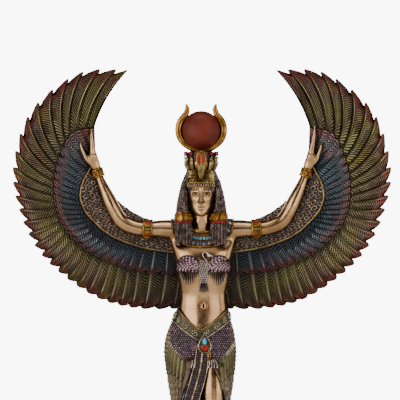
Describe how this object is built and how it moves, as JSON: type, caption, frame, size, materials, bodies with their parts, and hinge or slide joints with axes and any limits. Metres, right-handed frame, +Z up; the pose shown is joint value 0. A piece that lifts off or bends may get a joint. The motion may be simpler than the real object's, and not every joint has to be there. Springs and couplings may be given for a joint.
{
  "type": "isis figurine",
  "caption": "Cold-cast bronze statuette of a winged goddess, arms raised before wide feathered wings, sun disc between horns on her crown, standing on a low oval base.",
  "frame": {"origin": "on the underside of the base, under the middle of the figurine", "axes": "+Z up, the figure faces -Y, +X to the viewer's right"},
  "size_m": [0.2258, 0.076, 0.3003],
  "materials": {
    "bronze_skin": "cold-cast bronze: resin filled with bronze powder, polished to a soft metallic gloss",
    "feather_paint": "the same casting under a dark wash, dry-brushed with olive, slate blue and red-brown metallic paint",
    "hair_wash": "the same casting under a dark brown wash, rubbed back to bronze on the raised strands",
    "gold_paint": "antique gold metallic paint on the casting",
    "purple_beadwork": "purple-grey metallic paint over fine cast beadwork",
    "enamel_colours": "glossy red, turquoise and green enamel paint"
  },
  "bodies": {
    "root": {"isis_figure": "bronze_skin"}
  },
  "joints": []
}
